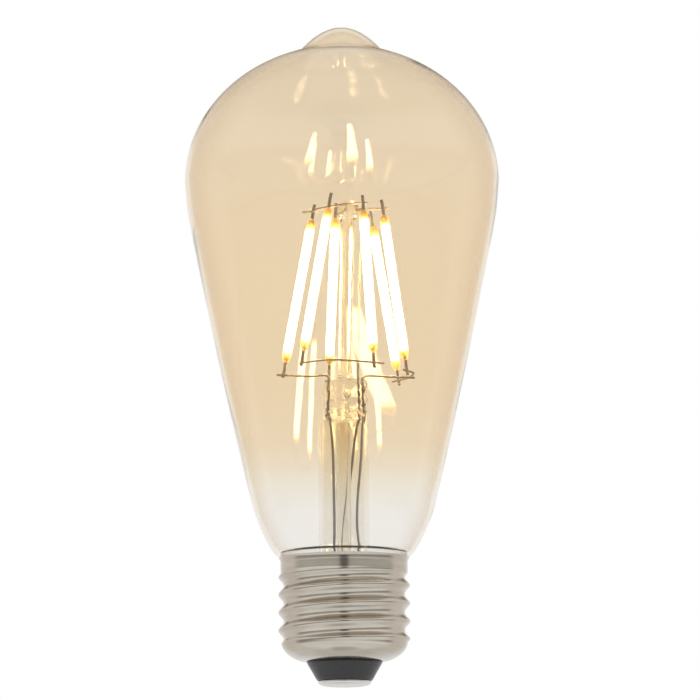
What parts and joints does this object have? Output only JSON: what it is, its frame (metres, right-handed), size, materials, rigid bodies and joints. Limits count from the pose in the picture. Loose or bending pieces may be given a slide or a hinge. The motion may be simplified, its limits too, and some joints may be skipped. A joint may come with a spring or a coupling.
{
  "type": "smart light bulb",
  "caption": "Tear-drop filament lamp in amber-tinted glass on a screw cap, with straight LED filaments on a glass stem and a wireless driver in the cap.",
  "frame": {"origin": "middle of the centre contact's flat face, on the lamp's axis", "axes": "+Z along the lamp's axis from the contact to the glass tip; -Y is the front; -Z points into the lampholder"},
  "size_m": [0.0646, 0.0646, 0.136],
  "materials": {
    "amber_glass": "clear amber-tinted blown glass",
    "clear_glass": "clear stem glass",
    "nickel": "satin nickel plate",
    "tin": "tinned",
    "insulation": "dark satin insulator",
    "cement": "matt basing cement",
    "phosphor": "phosphor-loaded silicone, lit",
    "tab_steel": "dull plated strip",
    "lead_wire": "dull nickel wire",
    "copper": "copper-clad wire",
    "board": "glass-epoxy board",
    "chip": "moulded chip resin",
    "sleeve": "shrink sleeve",
    "ferrite": "dull ferrite",
    "shield": "tinned shield",
    "resistor": "lacquered resistor body"
  },
  "bodies": {
    "root": {"glass_envelope": "amber_glass", "cap_shell": "nickel", "basing_cement": "cement", "cap_insulator": "insulation", "centre_contact": "tin", "glass_stem": "clear_glass", "exhaust_tube": "clear_glass", "glass_pillar": "clear_glass", "driver_board": "board", "bridge_rectifier": "chip", "driver_chip": "chip", "wireless_module": "shield", "storage_capacitor": "sleeve", "driver_inductor": "ferrite", "fusible_resistor": "resistor", "antenna_wire": "copper", "contact_feed_wire": "copper", "shell_feed_wire": "copper", "seal_wire_left": "copper", "outer_lead_left": "copper", "inner_lead_left": "lead_wire", "seal_wire_middle": "copper", "outer_lead_middle": "copper", "inner_lead_middle": "lead_wire", "seal_wire_right": "copper", "outer_lead_right": "copper", "inner_lead_right": "lead_wire", "lower_link_back": "lead_wire", "lower_link_front": "lead_wire", "lower_link_right": "lead_wire", "return_wire": "lead_wire", "upper_link_front": "lead_wire", "upper_link_right": "lead_wire", "upper_cross_wire": "lead_wire", "filament_1_strip": "phosphor", "filament_1_lower_tab": "tab_steel", "filament_1_upper_tab": "tab_steel", "filament_2_strip": "phosphor", "filament_2_lower_tab": "tab_steel", "filament_2_upper_tab": "tab_steel", "filament_3_strip": "phosphor", "filament_3_lower_tab": "tab_steel", "filament_3_upper_tab": "tab_steel", "filament_4_strip": "phosphor", "filament_4_lower_tab": "tab_steel", "filament_4_upper_tab": "tab_steel", "filament_5_strip": "phosphor", "filament_5_lower_tab": "tab_steel", "filament_5_upper_tab": "tab_steel", "filament_6_strip": "phosphor", "filament_6_lower_tab": "tab_steel", "filament_6_upper_tab": "tab_steel"}
  },
  "joints": []
}
